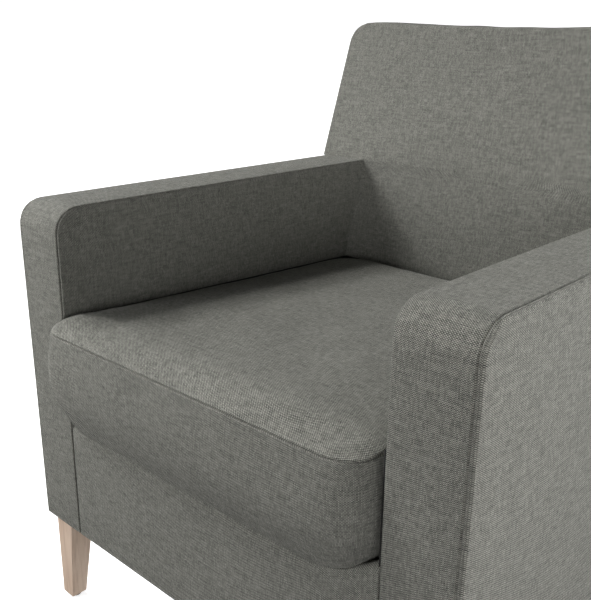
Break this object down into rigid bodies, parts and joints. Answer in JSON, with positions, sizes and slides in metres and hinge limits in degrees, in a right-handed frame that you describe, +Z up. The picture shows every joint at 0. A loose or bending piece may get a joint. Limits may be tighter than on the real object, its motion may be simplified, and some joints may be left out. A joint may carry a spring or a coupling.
{
  "type": "upholstered armchair",
  "caption": "Compact upholstered armchair with straight block arms, a leaning full-width back, a loose zipped seat cushion on a sprung deck, and square tapered wooden legs.",
  "frame": {"origin": "on the floor, under the middle of the bounding box", "axes": "+Z up, -Y towards the front of the seat, +X to the right as seen from the front"},
  "size_m": [0.68, 0.8, 0.833],
  "materials": {
    "cover_fabric": "matt warm grey melange basket weave",
    "lining": "black non-woven",
    "foam": "cream polyurethane foam",
    "felt": "grey needled felt",
    "frame_timber": "sawn softwood",
    "hardboard": "brown hardboard",
    "leg_wood": "pale whitewashed birch, satin",
    "bolt_steel": "plain steel",
    "glide_plastic": "moulded nylon",
    "spring_steel": "plain steel wire",
    "strap_webbing": "black elastic webbing",
    "zip_tape": "grey woven tape with nylon teeth",
    "zip_metal": "satin"
  },
  "bodies": {
    "frame": {"left_arm_band_cover": "cover_fabric", "right_arm_band_cover": "cover_fabric", "left_arm_inner_cover": "cover_fabric", "right_arm_inner_cover": "cover_fabric", "left_arm_outer_cover": "cover_fabric", "right_arm_outer_cover": "cover_fabric", "front_apron_cover": "cover_fabric", "inside_back_cover": "cover_fabric", "back_border_cover": "cover_fabric", "outside_back_cover": "cover_fabric", "seat_deck_cloth": "lining", "bottom_dust_cover": "lining", "left_arm_top_foam": "foam", "right_arm_top_foam": "foam", "left_arm_inner_foam": "foam", "right_arm_inner_foam": "foam", "front_edge_foam": "foam", "back_foam": "foam", "seat_deck_felt": "felt", "left_arm_top_rail": "frame_timber", "right_arm_top_rail": "frame_timber", "left_arm_front_post": "frame_timber", "right_arm_front_post": "frame_timber", "left_side_rail": "frame_timber", "right_side_rail": "frame_timber", "front_rail": "frame_timber", "rear_rail": "frame_timber", "left_back_stile": "frame_timber", "right_back_stile": "frame_timber", "back_top_rail": "frame_timber", "back_lower_rail": "frame_timber", "front_left_corner_block": "frame_timber", "front_right_corner_block": "frame_timber", "rear_left_corner_block": "frame_timber", "rear_right_corner_block": "frame_timber", "left_arm_outer_board": "hardboard", "right_arm_outer_board": "hardboard", "front_left_leg": "leg_wood", "front_right_leg": "leg_wood", "rear_left_leg": "leg_wood", "rear_right_leg": "leg_wood", "front_left_leg_bolt": "bolt_steel", "front_right_leg_bolt": "bolt_steel", "rear_left_leg_bolt": "bolt_steel", "rear_right_leg_bolt": "bolt_steel", "front_left_leg_glide": "glide_plastic", "front_right_leg_glide": "glide_plastic", "rear_left_leg_glide": "glide_plastic", "rear_right_leg_glide": "glide_plastic", "seat_spring_1": "spring_steel", "seat_spring_2": "spring_steel", "seat_spring_3": "spring_steel", "seat_spring_4": "spring_steel", "back_strap_1": "strap_webbing", "back_strap_2": "strap_webbing", "back_strap_3": "strap_webbing"},
    "seat_cushion": {"seat_cushion_cover": "cover_fabric", "seat_cushion_foam": "foam", "cushion_zip_tape": "zip_tape"},
    "zip_slider": {"cushion_zip_slider": "zip_metal"}
  },
  "joints": [
    {"name": "cushion_lift", "type": "slide", "parent": "frame", "child": "seat_cushion", "axis": [0, 0, 1], "range_m": [0, 0.34]},
    {"name": "zip_slide", "type": "slide", "parent": "seat_cushion", "child": "zip_slider", "axis": [1, 0, 0], "range_m": [0, 0.41]}
  ]
}
